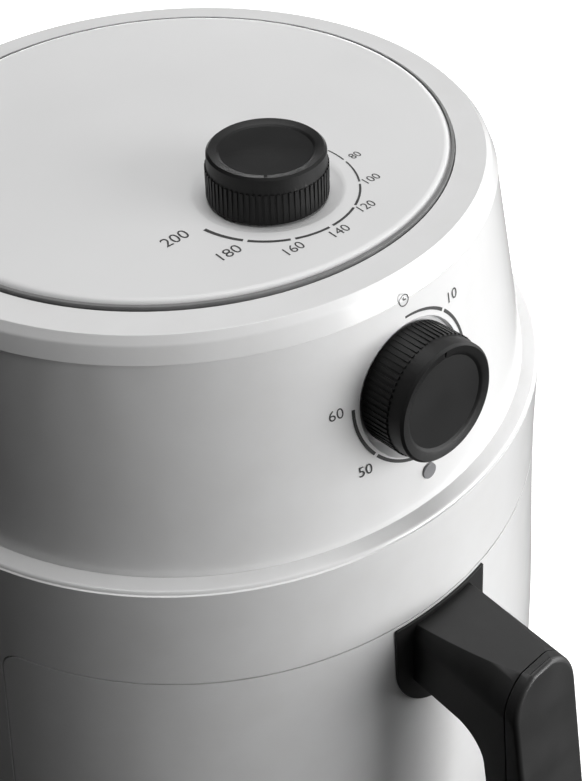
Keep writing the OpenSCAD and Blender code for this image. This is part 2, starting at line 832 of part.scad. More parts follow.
module crisper_tray() color([0.14, 0.14, 0.14]) in_frame() {
    pitch = 22;
    translate([0, -pan_shift, tray_z]) difference() {
        union() {
            rounded_plate(tray_size, tray_size, tray_corner, tray_t);
            translate([0, 0, -6]) tube(12, 10.5, 7);
            for (x = side, y = side) translate([x * 52, y * 52, -10]) cylinder(r = 4, h = 11);
        }
        translate([0, 0, -7]) cylinder(r = 9, h = 12);
        for (ring = [1:3], i = [0:6 * ring - 1]) rotate(i * 60 / ring)
            translate([pitch * ring, 0, -1]) cylinder(r = 4.5, h = 4, $fn = 20);
    }
}

module tray_bumpers() color([0.2, 0.2, 0.2]) in_frame() {
    for (a = [0:90:270]) translate([0, -pan_shift, 0]) rotate(a)
        translate([tray_size / 2, -7, tray_z - 3]) cube([2.8, 14, 8]);
}

// ---- Handle ----
// Side view of arm and grip, with X forwards from the housing's axis.
module handle_side() {
    r = 8;
    inner_r = 13;
    y0 = front_r - 8;
    back_y = grip_y - grip_t;
    foot_back = grip_foot_y - grip_t;
    polygon(concat(
        [[y0, arm_z]],
        arc(grip_y - r, arm_z - r, r, 90, -grip_lean, 8),
        arc(grip_foot_y - foot_inset, grip_z0 + foot_inset, foot_round, -grip_lean, -90, 5),
        arc(foot_back + 5, grip_z0 + 6, 5, -90, -180 - grip_lean, 5),
        arc(back_y + 5 - inner_r, arm_z - arm_t - inner_r, inner_r, -grip_lean, 90, 8),
        [[y0, arm_z - arm_t]]
    ));
}

// Front view of arm and grip.
module handle_front() {
    translate([-grip_half, grip_z0 + grip_half]) square([2 * grip_half, arm_z - grip_z0 - grip_half]);
    translate([0, grip_z0 + grip_half]) circle(grip_half);
}

module handle_body() {
    intersection() {
        rotate([0, 0, -90]) rotate([90, 0, 0]) translate([0, 0, -grip_half - 1])
            linear_extrude(2 * grip_half + 2) handle_side();
        rotate([90, 0, 0]) linear_extrude(2 * grip_y) handle_front();
    }
}

// Everything in front of the joint between the grip's core and its cover.
module before_cover(g) {
    translate([0, -cover_y - g, arm_z]) rotate([-grip_lean * 0.6, 0, 0])
        translate([-2 * grip_half, -80, grip_z0 - arm_z - 40])
            cube([4 * grip_half, 80, arm_z - grip_z0 + 80]);
}

// Outline of the mounting plate, seen from the front.
module plate_front() {
    translate([-plate_half, plate_round_z])
        square([2 * plate_half, seam_z - plate_top_gap - plate_round_z]);
    intersection() {
        translate([0, plate_round_z]) circle(plate_half);
        translate([-plate_half, plate_round_z - plate_half]) square([2 * plate_half, plate_half + 1]);
    }
}

// Ring in which the mounting plate lies, bent round the drawer front.
module plate_ring() {
    z = [for (i = [0:4]) plate_round_z - plate_half - 2 + i * (2 * plate_half + 2) / 4];
    rotate_extrude($fn = 128) polygon(concat(
        [for (h = z) [housing_radius(h) + 0.05, h]],
        [for (i = [4:-1:0]) [housing_radius(z[i]) + plate_t, z[i]]]
    ));
}

module handle() color([0.13, 0.13, 0.14]) in_frame() {
    intersection() {
        plate_ring();
        rotate([90, 0, 0]) linear_extrude(lower_r + 20) plate_front();
    }
    difference() {
        handle_body();
        before_cover(0);
        cylinder(r = front_r + plate_t / 2, h = 2 * arm_z);
    }
}

// Round-edged front shell of the grip.
module grip_cover() color([0.13, 0.13, 0.14]) in_frame() {
    intersection() {
        handle_body();
        before_cover(cover_gap);
        // plan with round front corners, following the grip's lean
        translate([0, -grip_y, arm_z]) rotate([-grip_lean, 0, 0]) translate([0, 0, grip_z0 - arm_z - 40])
            linear_extrude(arm_z - grip_z0 + 80) translate([0, grip_t / 2 + 1])
                rounded(2 * grip_half, grip_t + 2, grip_round);
    }
}

// Screws behind the drawer front, into the handle.
module handle_screws() color("silver") in_frame() {
    for (z = [142, 156]) translate([0, wall + seat + 0.1 - housing_radius(z), z]) rotate([-90, 0, 0])
        cylinder(r = 4, h = 2.4);
}

// ---- Safety switch and other parts ----
module safety_switch() color([0.2, 0.2, 0.2]) in_frame() {
    translate([0, liner_size / 2, switch_z]) difference() {
        translate([-14, 0, -8]) cube([28, 18, 16]);
        translate([0, -1, 0]) rotate([-90, 0, 0]) cylinder(r = 2.5 + shaft_play, h = 17);
    }
}

module switch_plunger() color("red") in_frame() {
    y0 = pan_size / 2 - pan_shift + plunger_gap;
    y1 = liner_size / 2 + 10;
    translate([0, y0, switch_z]) rotate([-90, 0, 0]) cylinder(r = 2.5, h = y1 - y0);
}

module terminal_block() color("ivory") in_frame() {
    translate([42 - upper_r, 34, mid_z + mid_t]) difference() {
        cube([18, 40, 14]);
        for (i = [0:3]) translate([9, 5 + i * 10, 6]) cylinder(r = 2.5, h = 10);
    }
}

module thermal_fuse() color("silver") in_frame() {
    translate([upper_r - 54, 20, mid_z + mid_t]) {
        cylinder(r = 8, h = 6);
        translate([-12, -4, 0]) cube([24, 8, 1]);
    }
}

base_plate();
rubber_feet();
base_screws();
lower_housing();
drawer_bezel();
chamber_liner();
pan_rails();
chamber_roof();
mid_plate();
upper_housing();
top_rim();
top_cover();
rear_vent();
cord_gland();
temperature_knob();
thermostat_shaft();
thermostat();
thermostat_bulb();
timer_knob();
timer_shaft();
timer_case();
timer_bell();
indicator_lens();
indicator_lamp();
heating_element();
element_brackets();
fan_guard();
hot_air_fan();
fan_shaft();
cooling_fan();
motor_rotor();
motor_stator();
motor_coil();
motor_bracket();
motor_top_bracket();
motor_bearings();
drawer_front();
pan();
crisper_tray();
tray_bumpers();
handle();
grip_cover();
handle_screws();
safety_switch();
switch_plunger();
terminal_block();
thermal_fuse();
motor_screws();
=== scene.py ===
"""The looks of a round white air fryer: glossy shells, printed dials, a dark handle, a drawer and its pan."""

import math

import bmesh
import bpy
from mathutils import Matrix, Vector


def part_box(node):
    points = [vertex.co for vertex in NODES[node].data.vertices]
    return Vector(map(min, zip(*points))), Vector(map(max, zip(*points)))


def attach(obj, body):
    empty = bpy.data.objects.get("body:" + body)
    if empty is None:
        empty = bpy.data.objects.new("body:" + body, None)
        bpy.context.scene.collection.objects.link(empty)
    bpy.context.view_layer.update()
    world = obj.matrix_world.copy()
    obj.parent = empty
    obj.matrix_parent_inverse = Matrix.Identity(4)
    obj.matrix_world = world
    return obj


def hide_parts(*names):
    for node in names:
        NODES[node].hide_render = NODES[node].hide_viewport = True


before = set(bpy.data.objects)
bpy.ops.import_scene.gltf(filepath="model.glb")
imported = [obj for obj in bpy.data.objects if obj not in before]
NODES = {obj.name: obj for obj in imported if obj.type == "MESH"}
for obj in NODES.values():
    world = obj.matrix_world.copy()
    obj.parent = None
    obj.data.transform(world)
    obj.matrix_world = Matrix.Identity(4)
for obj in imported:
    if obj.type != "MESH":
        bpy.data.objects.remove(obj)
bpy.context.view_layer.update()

MM = 0.001


def middle(node):
    """Middle of a CAD node's box, in millimetres."""
    low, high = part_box(node)
    return [(a + b) / 2 / MM for a, b in zip(low, high)]


# ---- Places, in millimetres, about the axis of the lower housing ----
AXIS_Y = middle("fan_shaft")[1]
DISC_BACK = 8.0
DISC_R = 101.5
DISC_EDGE_Z = 304.5
DISC_DOME = 1.5
LEDGE_Z = 220.0
RIM_BOTTOM = 294.5
RIM_TOP = 302.5
RIM_CHAMFER = 3.0
RIM_SLOPE = 4.6
RIM_LEAN = 1.3
SKIN = 0.1
UPPER_R = 125.9
RIM_R = 118.9
DIAL_Y = -44.4
TIMER_Z = 263.0
TIMER_TILT = 5.0
TIMER_DISH = 4.9


def wall_front(z):
    """Distance of the upper wall's foremost line from the axis."""
    share = (z - LEDGE_Z) / (RIM_BOTTOM - LEDGE_Z)
    return UPPER_R + (RIM_R - UPPER_R) * share - DISC_BACK * share


TIMER_Y = TIMER_DISH - wall_front(TIMER_Z)


def dome_z(r):
    """Height of the top disc at radius r from its own middle."""
    ball = (DISC_R ** 2 + DISC_DOME ** 2) / (2 * DISC_DOME)
    return DISC_EDGE_Z + DISC_DOME - ball + math.sqrt(ball ** 2 - r ** 2)


# ---- Shader arithmetic ----
class Shade:
    """A node tree's output socket that takes part in Python arithmetic."""

    def __init__(self, nodes, socket):
        self.nodes = nodes
        self.socket = socket

    def math(self, operation, other):
        """Adds a Math node; + and * come out the same from either side."""
        return self.nodes.node("Math", {"operation": operation}, {0: self, 1: other})

    def __add__(self, other):
        return self.math("ADD", other)

    __radd__ = __add__

    def __mul__(self, other):
        return self.math("MULTIPLY", other)

    __rmul__ = __mul__


def join(tree, entry, value):
    """Links a Shade to a socket, or sets the socket to a plain value."""
    if isinstance(value, Shade):
        tree.links.new(value.socket, entry)
    elif value is not None:
        entry.default_value = value


class Nodes:
    """A node tree under construction."""

    def __init__(self, tree):
        self.tree = tree

    def node(self, kind, settings=None, sockets=None, output=0):
        """Adds a node: its settings first, then the values or links of its sockets."""
        made = self.tree.nodes.new("ShaderNode" + kind)
        for key, value in (settings or {}).items():
            setattr(made, key, value)
        for key, value in (sockets or {}).items():
            join(self.tree, made.inputs[key], value)
        return Shade(self, made.outputs[output])

    def place(self):
        """Object coordinates."""
        return self.node("TexCoord", output="Object")

    def noise(self, scale, detail=2.0, where=None):
        """Noise whose scale counts features in a metre."""
        return self.node("TexNoise",
                         sockets={"Vector": where or self.place(), "Scale": scale, "Detail": detail})

    def range(self, value, start, end):
        """Brings a value from start..end to 0..1, held at both ends."""
        return self.node("MapRange", {"clamp": True}, {"Value": value, "From Min": start, "From Max": end})

    def bump(self, height, strength, distance, below=None):
        """Bump from a height, on top of another bump if one is given."""
        return self.node("Bump", sockets={"Height": height, "Strength": strength, "Distance": distance,
                                          "Normal": below})

    def mix(self, share, first, second):
        """Mixes two colours."""
        return self.node("Mix", {"data_type": "RGBA"}, {0: share, 6: first, 7: second}, 2)


class Finish(Nodes):
    """A material under construction."""

    def __init__(self, name):
        self.material = bpy.data.materials.new(name)
        self.material.use_nodes = True
        super().__init__(self.material.node_tree)
        self.surface = self.tree.nodes["Principled BSDF"]

    def set(self, **sockets):
        """Sets the surface's sockets, named with _ for a space; returns the material."""
        for key, value in sockets.items():
            join(self.tree, self.surface.inputs[key.replace("_", " ")], value)
        return self.material


def grey(value, warm=0.0):
    """A grey, or a warmer one."""
    return (value * (1 + warm), value, value * (1 - warm), 1)


# ---- Finishes ----
def white_gloss():
    """Glossy white shell with fine dust and a faint waviness."""
    f = Finish("white gloss shell")
    dust = f.noise(60.0, 4.0)
    return f.set(
        Base_Color=f.mix(f.range(dust, 0.35, 0.7), grey(0.86), grey(0.83, 0.003)),
        Roughness=0.17 + 0.06 * f.range(dust, 0.3, 0.75),
        IOR=1.5,
        Coat_Weight=0.2,
        Coat_Roughness=0.08,
        Normal=f.bump(f.noise(900.0), 0.02, 0.0004, f.bump(f.noise(28.0, 1.0), 0.03, 0.002)),
    )


def white_satin():
    """Satin white of the lid."""
    f = Finish("white satin lid")
    cloud = f.noise(20.0, 3.0)
    return f.set(
        Base_Color=f.mix(cloud, grey(0.78), grey(0.81)),
        Roughness=0.36 + 0.08 * f.range(cloud, 0.3, 0.7),
        Normal=f.bump(f.noise(2600.0), 0.05, 0.0001),
    )


def dark_plastic(name, shade, rough, grain_strength=0.12, shine=0.5):
    """Moulded plastic of one grey shade, with fine grain and slight wear."""
    f = Finish(name)
    wear = f.noise(70.0, 4.0)
    return f.set(
        Base_Color=f.mix(f.range(wear, 0.4, 0.75), grey(shade), grey(shade * 1.35)),
        Roughness=rough + 0.1 * f.range(wear, 0.3, 0.75),
        Specular_IOR_Level=shine,
        Normal=f.bump(f.noise(3200.0), grain_strength, 0.0002),
    )


def rubber():
    """Matt black rubber."""
    f = Finish("black rubber")
    grain = f.noise(1500.0, 3.0)
    return f.set(Base_Color=f.mix(grain, grey(0.02), grey(0.035)), Roughness=0.8,
                 Normal=f.bump(grain, 0.2, 0.0003))


def metal(name, shade, rough, stretch=(1, 1, 1), warm=0.0):
    """Metal whose brush lines follow the stretch."""
    f = Finish(name)
    lines = f.noise(400.0, 3.0, f.node("Mapping", sockets={"Vector": f.place(), "Scale": stretch}))
    return f.set(
        Base_Color=f.mix(lines, grey(shade * 0.85, warm), grey(shade, warm)),
        Metallic=1.0,
        Roughness=rough + 0.12 * f.range(lines, 0.3, 0.7),
        Normal=f.bump(lines, 0.08, 0.0002),
    )


def nonstick():
    """Dark coating with pale flecks."""
    f = Finish("non-stick coating")
    fleck = f.noise(2400.0)
    return f.set(
        Base_Color=f.mix(f.range(f.noise(1400.0, 1.0), 0.66, 0.72), grey(0.018), grey(0.07)),
        Roughness=0.34 + 0.12 * f.range(fleck, 0.3, 0.7),
        Metallic=0.2,
        Normal=f.bump(fleck, 0.1, 0.0002),
    )


def tinted(name, colour, rough, coat=0.0):
    """Coloured glass, plastic or ceramic with a faint cloud."""
    f = Finish(name)
    cloud = f.noise(300.0, 3.0)
    darker = tuple(0.8 * c for c in colour[:3]) + (1,)
    return f.set(Base_Color=f.mix(cloud, colour, darker), Roughness=rough, Coat_Weight=coat,
                 Normal=f.bump(cloud, 0.05, 0.0003))


WHITE = white_gloss()
LID = white_satin()
DIAL = dark_plastic("dial plastic", 0.009, 0.42, shine=0.28)
GRIP = dark_plastic("handle plastic", 0.022, 0.36, 0.08, 0.4)
INK = dark_plastic("dark grey ink", 0.035, 0.5, 0.02)
BASE = dark_plastic("base plastic", 0.03, 0.6)
GREY = dark_plastic("grey plastic", 0.30, 0.5)
# painted shade: the dark grey of the ring in the groove under the lid's disc stands in for the shade of that
# gap
GROOVE_SHADE_GREY = dark_plastic("painted groove shade grey", 0.16, 0.45)
STEEL = metal("brushed steel", 0.62, 0.28, (1, 1, 14))
ZINC = metal("zinc-plated sheet", 0.50, 0.40)
ALU = metal("aluminium sheet", 0.70, 0.30, (14, 1, 1))
ELEMENT = metal("oxidised heater tube", 0.14, 0.45, warm=0.1)
IRON = metal("stacked laminations", 0.22, 0.45, (1, 1, 60))
BRASS = metal("bearing brass", 0.55, 0.3, warm=0.3)
COATING = nonstick()
RUBBER = rubber()
WINDING = metal("varnished copper winding", 0.45, 0.35, (80, 1, 1), 0.5)
LENS = tinted("smoked lens", (0.30, 0.30, 0.31, 1), 0.10, 0.5)
LAMP = tinted("neon lamp", (0.6, 0.2, 0.06, 1), 0.2)
CERAMIC = tinted("glazed ceramic", (0.75, 0.70, 0.60, 1), 0.35)

FINISH_OF_NODE = {
    "base_plate": BASE, "rubber_feet": RUBBER, "base_screws": ZINC, "lower_housing": WHITE,
    "drawer_bezel": LID, "chamber_liner": STEEL, "pan_rails": STEEL, "chamber_roof": ALU,
    "mid_plate": ZINC, "upper_housing": WHITE, "top_rim": WHITE, "top_cover": LID,
    "rear_vent": LID, "cord_gland": RUBBER, "temperature_knob": DIAL, "thermostat_shaft": STEEL,
    "thermostat": CERAMIC, "thermostat_bulb": STEEL, "timer_knob": DIAL, "timer_shaft": STEEL,
    "timer_case": GREY, "timer_bell": STEEL, "indicator_lens": LENS, "indicator_lamp": LAMP,
    "heating_element": ELEMENT, "element_brackets": STEEL, "fan_guard": STEEL, "hot_air_fan": ALU,
    "fan_shaft": STEEL, "cooling_fan": GREY, "motor_rotor": IRON, "motor_stator": IRON,
    "motor_coil": WINDING, "motor_bracket": ZINC, "motor_top_bracket": ZINC,
    "motor_bearings": BRASS, "drawer_front": WHITE, "pan": COATING, "crisper_tray": COATING,
    "tray_bumpers": RUBBER, "handle": GRIP, "grip_cover": GRIP, "handle_screws": ZINC,
    "safety_switch": GREY, "switch_plunger": GREY, "terminal_block": CERAMIC,
    "thermal_fuse": CERAMIC, "motor_screws": ZINC,
}
for name, finish in FINISH_OF_NODE.items():
    slots = NODES[name].material_slots
    if slots:
        slots[0].material = finish
    else:
        NODES[name].data.materials.append(finish)


# ---- Mesh helpers ----
def finish_piece(name, mesh, material, body, node=None, sharp=35, edge_mm=0):
    """Puts a mesh made in the housing's axis frame, in millimetres, into the scene."""
    mesh.transform(Matrix.Translation((0, AXIS_Y * MM, 0)) @ Matrix.Scale(MM, 4))
    bmesh.ops.recalc_face_normals(mesh, faces=mesh.faces)
    data = bpy.data.meshes.new(name)
    for face in mesh.faces:
        face.smooth = True
    for edge in mesh.edges:
        edge.smooth = edge.calc_face_angle(0) < math.radians(sharp)
    mesh.to_mesh(data)
    mesh.free()
    data.materials.append(material)
    piece = bpy.data.objects.new(name, data)
    bpy.context.collection.objects.link(piece)
    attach(piece, body)
    if node:
        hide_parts(node)
    if edge_mm:
        break_edges(piece, edge_mm, 3, sharp)


def break_edges(piece, edge_mm, segments, sharp):
    """Rounds a piece's edges sharper than an angle in degrees, and shades the flats evenly."""
    bevel = piece.modifiers.new("broken edges", "BEVEL")
    bevel.width = edge_mm * MM
    bevel.segments = segments
    bevel.limit_method = "ANGLE"
    bevel.angle_limit = math.radians(sharp)
    bevel.harden_normals = True
    bevel.use_clamp_overlap = True
    even = piece.modifiers.new("even shading", "WEIGHTED_NORMAL")
    even.keep_sharp = True


def outline(points, place, rounds):
    """Flat face through pairs of numbers that place puts in space, its corners rounded."""
    mesh = bmesh.new()
    corners = [mesh.verts.new(place(*point)) for point in points]
    mesh.faces.new(corners)
    for corner, offset in zip(corners, rounds):
        if offset:
            bmesh.ops.bevel(mesh, geom=[corner], offset=offset, offset_type="OFFSET", segments=14, profile=0.5,
                            affect="VERTICES", material=-1)
    mesh.faces.ensure_lookup_table()
    return mesh


def drawn_out(mesh, way):
    """Extrudes the mesh's only face by a vector."""
    grown = bmesh.ops.extrude_face_region(mesh, geom=[mesh.faces[0]])["geom"]
    verts = [part for part in grown if isinstance(part, bmesh.types.BMVert)]
    bmesh.ops.translate(mesh, vec=way, verts=verts)


def carved(mesh, tool, operation):
    """Boolean of two closed meshes, which it uses up."""
    things = []
    for part in (mesh, tool):
        bmesh.ops.recalc_face_normals(part, faces=part.faces)
        data = bpy.data.meshes.new("carving")
        part.to_mesh(data)
        part.free()
        things.append(bpy.data.objects.new("carving", data))
        bpy.context.collection.objects.link(things[-1])
    cut = things[0].modifiers.new("cut", "BOOLEAN")
    cut.operation = operation
    cut.solver = "EXACT"
    cut.object = things[1]
    result = bmesh.new()
    result.from_object(things[0], bpy.context.evaluated_depsgraph_get())
    for thing in things:
        bpy.data.meshes.remove(thing.data)
    bmesh.ops.remove_doubles(result, verts=result.verts, dist=0.01)
    return result


# ---- Shells and mouldings: merged copies of the solids, their edges broken ----
MOULDED_SHARP = 32


def moulded(node, material, body, edge_mm, segments=3, reshape=None):
    """A copy of a CAD node, its loose triangles merged and its sharp edges rounded."""
    mesh = bmesh.new()
    mesh.from_mesh(NODES[node].data)
    bmesh.ops.remove_doubles(mesh, verts=mesh.verts, dist=0.004 * MM)
    bmesh.ops.dissolve_degenerate(mesh, edges=mesh.edges, dist=0.003 * MM)
    bmesh.ops.dissolve_limit(mesh, angle_limit=math.radians(0.2), verts=mesh.verts, edges=mesh.edges)
    if reshape:
        axis = Vector((0, AXIS_Y, 0))
        for vertex in mesh.verts:
            vertex.co = (reshape(vertex.co / MM - axis) + axis) * MM
    for face in mesh.faces:
        face.smooth = True
    data = bpy.data.meshes.new(node)
    mesh.to_mesh(data)
    mesh.free()
    data.materials.append(material)
    piece = bpy.data.objects.new(node + "_moulded", data)
    bpy.context.collection.objects.link(piece)
    break_edges(piece, edge_mm, segments, MOULDED_SHARP)
    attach(piece, body)
    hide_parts(node)


def rim_slope(point):
    """Carries the leaning wall up the rim's side and turns its round edge into a chamfer."""
    across, away = point.x, point.y - DISC_BACK
    radius = math.hypot(across, away)
    low, high = RIM_BOTTOM, RIM_TOP - RIM_CHAMFER
    if radius < RIM_R - RIM_CHAMFER - 0.3 or point.z < low:
        return point
    drop = (high - low) * (UPPER_R - RIM_R - DISC_BACK * away / radius) / (RIM_BOTTOM - LEDGE_Z)
    side = RIM_R - SKIN - (drop + RIM_LEAN) * min((point.z - low) / (high - low), 1)
    share = max(point.z - high, 0) / RIM_CHAMFER
    scale = (side + (RIM_R - SKIN - RIM_SLOPE - side) * share) / radius
    return Vector((across * scale, DISC_BACK + away * scale, point.z))


moulded("lower_housing", WHITE, "housing", 0.5)
moulded("upper_housing", WHITE, "housing", 0.12)
moulded("top_rim", WHITE, "housing", 0.35, reshape=rim_slope)
moulded("top_cover", LID, "housing", 0.3)
moulded("drawer_front", WHITE, "drawer", 0.5)
moulded("temperature_knob", DIAL, "temperature_dial", 0.12, 2)
moulded("timer_knob", DIAL, "timer_dial", 0.12, 2)


def groove_ring():
    """Dark grey ring in the groove between the lid's disc and the rim: painted shade that stands in for the
    dark gap under the disc's edge.
    """
    inner, outer, foot = DISC_R - 0.05, DISC_R + 1.1, 299.5
    ring = outline([(inner, foot), (outer, foot), (outer, 303.7), (inner, 303.9)],
                   lambda r, z: (r, 0, z), (0, 0, 0.3, 0))
    bmesh.ops.spin(ring, geom=ring.verts[:] + ring.edges[:] + ring.faces[:], cent=(0, 0, 0), axis=(0, 0, 1),
                   angle=math.tau, steps=180, use_merge=True)
    # the profile's own face is left inside the ring: it faces neither up nor outward
    inside = [face for face in ring.faces if abs(face.normal.z) < 1e-4
              and abs(face.normal.dot(face.calc_center_median().normalized())) < 0.01]
    bmesh.ops.delete(ring, geom=inside, context="FACES")
    bmesh.ops.translate(ring, vec=(0, DISC_BACK, 0), verts=ring.verts)
    # the ring's dark grey is painted shade in the groove under the lid's disc
    finish_piece("groove_shade_ring", ring, GROOVE_SHADE_GREY, "housing")


groove_ring()


# ---- Handle: an arched arm and grip in two shells, on a thin plate bent round the drawer ----
ARM_ROOT = 129.0
ARM_TOP = 174.5
ARM_UNDER = 149.5
GRIP_FOOT = 70.0
GRIP_HALF = 15.2
ARCH_TOP = 183.0
GRIP_LEAN = math.radians(10)
SEAM_Z = 178.0
JOINT_LEAN = math.radians(-6)
JOINT_Y = -173.4
PLATE_HALF = 22.0
PLATE_T = 0.85
PLATE_TURN = math.radians(24)
LOWER_R = 132.0
BELLY_SWELL = 5.5
BELLY_RISE = 145.0
SHOULDER_Z = LEDGE_Z - 15
HANDLE_SHARP = 38


def belly_radius(z):
    """Outer radius of the drawer front between the belly and the shoulder."""
    return LOWER_R + BELLY_SWELL * (0.5 - 0.5 * math.cos(math.pi * (SHOULDER_Z - z) / BELLY_RISE))


def grip_body():
    """The arm and grip in one: the side view cut by the arch seen from the front."""
    side = outline([(ARM_ROOT, ARM_TOP), (177.0, 182.4), (196.8, GRIP_FOOT), (179.4, GRIP_FOOT),
                    (165.3, ARM_UNDER), (ARM_ROOT, ARM_UNDER)],
                   lambda away, z: (-2 * GRIP_HALF, -away, z), (0, 0, 0, 0, 11, 0))
    drawn_out(side, (4 * GRIP_HALF, 0, 0))
    foot = GRIP_FOOT + 2
    arch = outline([(-GRIP_HALF, foot), (GRIP_HALF, foot), (GRIP_HALF, ARCH_TOP), (-GRIP_HALF, ARCH_TOP)],
                   lambda x, z: (x, -230, z), (GRIP_HALF - 0.01,) * 4)
    drawn_out(arch, (0, 120, 0))
    body = carved(side, arch, "INTERSECT")
    bmesh.ops.dissolve_limit(body, angle_limit=math.radians(0.5), verts=body.verts, edges=body.edges)
    return body


def before_joint(gap):
    """Block that ends at the leaning joint between arm and cover, or short of it by a gap."""
    block = bmesh.new()
    bmesh.ops.create_cube(block, size=1)
    bmesh.ops.scale(block, vec=(80, 100, 220), verts=block.verts)
    bmesh.ops.translate(block, vec=(0, -50, -60), verts=block.verts)
    bmesh.ops.rotate(block, cent=(0, 0, 0), matrix=Matrix.Rotation(JOINT_LEAN, 3, "X"), verts=block.verts)
    bmesh.ops.translate(block, vec=(0, JOINT_Y - gap, 174), verts=block.verts)
    return block


def mounting_plate():
    """Thin sheet that follows the belly, cut to a tab with a round foot."""
    rows = [132.5 + 46 * i / 8 for i in range(9)]
    gap = 0.05
    ring = outline([(belly_radius(z) + gap + PLATE_T, z) for z in rows]
                   + [(belly_radius(z) + gap, z) for z in rows[::-1]],
                   lambda r, z: (0, -r, z), (0,) * 2 * len(rows))
    bmesh.ops.rotate(ring, cent=(0, 0, 0), matrix=Matrix.Rotation(-PLATE_TURN / 2, 3, "Z"), verts=ring.verts)
    bmesh.ops.spin(ring, geom=ring.verts[:] + ring.edges[:] + ring.faces[:], cent=(0, 0, 0), axis=(0, 0, 1),
                   angle=PLATE_TURN, steps=24)
    foot, head = 134, SEAM_Z - 0.9
    tab = outline([(-PLATE_HALF, foot), (PLATE_HALF, foot), (PLATE_HALF, head), (-PLATE_HALF, head)],
                  lambda x, z: (x, -150, z), (PLATE_HALF - 0.01, PLATE_HALF - 0.01, 0.8, 0.8))
    drawn_out(tab, (0, 40, 0))
    return carved(ring, tab, "INTERSECT")


def handle():
    """Arm and mounting plate as one piece."""
    core = carved(grip_body(), before_joint(0), "DIFFERENCE")
    plate = bpy.data.meshes.new("plate")
    mounting_plate().to_mesh(plate)
    core.from_mesh(plate)
    bpy.data.meshes.remove(plate)
    finish_piece("handle_arm", core, GRIP, "drawer", "handle", HANDLE_SHARP, 0.5)


def grip_cover():
    """Front cover of the grip, its front edge rounded all the way round."""
    cover = carved(grip_body(), before_joint(0.4), "INTERSECT")
    bmesh.ops.dissolve_limit(cover, angle_limit=math.radians(0.5), verts=cover.verts, edges=cover.edges)
    bmesh.ops.remove_doubles(cover, verts=cover.verts, dist=0.1)
    cover.normal_update()
    front = Vector((0, -math.cos(GRIP_LEAN), math.sin(GRIP_LEAN)))
    rim = [edge for edge in cover.edges
           if sum(face.normal.dot(front) > 0.99 for face in edge.link_faces) == 1]
    bmesh.ops.bevel(cover, geom=rim, offset=1.7, offset_type="OFFSET", segments=7, profile=0.5, affect="EDGES",
                    clamp_overlap=False, material=-1)
    finish_piece("grip_front", cover, GRIP, "drawer", "grip_cover", HANDLE_SHARP, 0.25)


handle()
grip_cover()


# ---- Printed scales ----
CONE_LEAN = math.radians(6.0766)
CONE_SPREAD = math.tan(math.radians(5.3076))
CONE_TOP = Vector((0, 143.88, LEDGE_Z + 1339.9))
CONE_DOWN = Vector((0, -math.sin(CONE_LEAN), -math.cos(CONE_LEAN)))
INK_LIFT = 0.05


def on_lid(across, away):
    """Point on the top disc from the temperature dial's axis: across to +X, away to -Y."""
    x, y = across, DIAL_Y - away
    return Vector((x, y, dome_z(math.hypot(x, y - DISC_BACK)) + INK_LIFT))


def on_wall(across, up):
    """Point on the front wall from the timer dial's axis, on the rim's side where that stands out."""
    tilt = math.radians(TIMER_TILT)
    out = Vector((0, -math.cos(tilt), math.sin(tilt)))
    point = Vector((across, TIMER_Y, TIMER_Z)) + up * Vector((0, math.sin(tilt), math.cos(tilt)))
    for _ in range(12):
        down = (point - CONE_TOP).dot(CONE_DOWN)
        radius = (point - CONE_TOP - down * CONE_DOWN).length
        short = down * CONE_SPREAD - radius
        if point.z > RIM_BOTTOM:
            short = max(short, RIM_R - SKIN - math.hypot(point.x, point.y - DISC_BACK))
        point += (short + INK_LIFT) * out
    return point


def print_mesh(name, mesh, place):
    """Lays a flat mesh, drawn in millimetres on XY, on a surface."""
    for vertex in mesh.verts:
        vertex.co = place(vertex.co.x, vertex.co.y)
    finish_piece(name, mesh, INK, "housing")


def ribbon(radius, start, end, width_start, width_end):
    """Flat arc on XY, its angles in degrees clockwise from +Y, its width changing along it."""
    mesh = bmesh.new()
    a = mesh.verts.new((0, radius - width_start / 2, 0))
    b = mesh.verts.new((0, radius + width_start / 2, 0))
    edge = mesh.edges.new((a, b))
    bmesh.ops.rotate(mesh, cent=(0, 0, 0), matrix=Matrix.Rotation(-math.radians(start), 3, "Z"), verts=(a, b))
    bmesh.ops.spin(mesh, geom=[a, b, edge], cent=(0, 0, 0), axis=(0, 0, -1),
                   angle=math.radians(end - start), steps=max(4, int(abs(end - start) / 1.5)))
    for vertex in mesh.verts:
        angle = math.degrees(math.atan2(vertex.co.x, vertex.co.y))
        share = ((angle - start + 1) % 360 - 1) / (end - start)
        width = width_start + (width_end - width_start) * min(max(share, 0), 1)
        ring = vertex.co.length
        vertex.co *= (radius + (0.5 if ring > radius else -0.5) * width) / ring
    return mesh


def lettering(words, width, height):
    """Flat mesh of some words, centred on XY, sized in millimetres."""
    curve = bpy.data.curves.new("words", "FONT")
    curve.body = words
    curve.size = 1.0
    curve.resolution_u = 4
    text = bpy.data.objects.new("words", curve)
    bpy.context.collection.objects.link(text)
    flat = bpy.data.meshes.new_from_object(text.evaluated_get(bpy.context.evaluated_depsgraph_get()))
    bpy.data.objects.remove(text)
    mesh = bmesh.new()
    mesh.from_mesh(flat)
    bpy.data.meshes.remove(flat)
    xs = [v.co.x for v in mesh.verts]
    ys = [v.co.y for v in mesh.verts]
    sx = width / (max(xs) - min(xs))
    sy = height / (max(ys) - min(ys))
    for vertex in mesh.verts:
        vertex.co.x = (vertex.co.x - (max(xs) + min(xs)) / 2) * sx
        vertex.co.y = (vertex.co.y - (max(ys) + min(ys)) / 2) * sy
    return mesh


def shifted(place, x0, y0):
    """The same surface, its zero moved."""
    return lambda x, y: place(x + x0, y + y0)


def lid_place(x, y):
    """Point on the top disc, with +Y of the flat drawing to the back."""
    return on_lid(x, -y)


ARC_GAP = 1.35
DIAL_ARC = 31.8
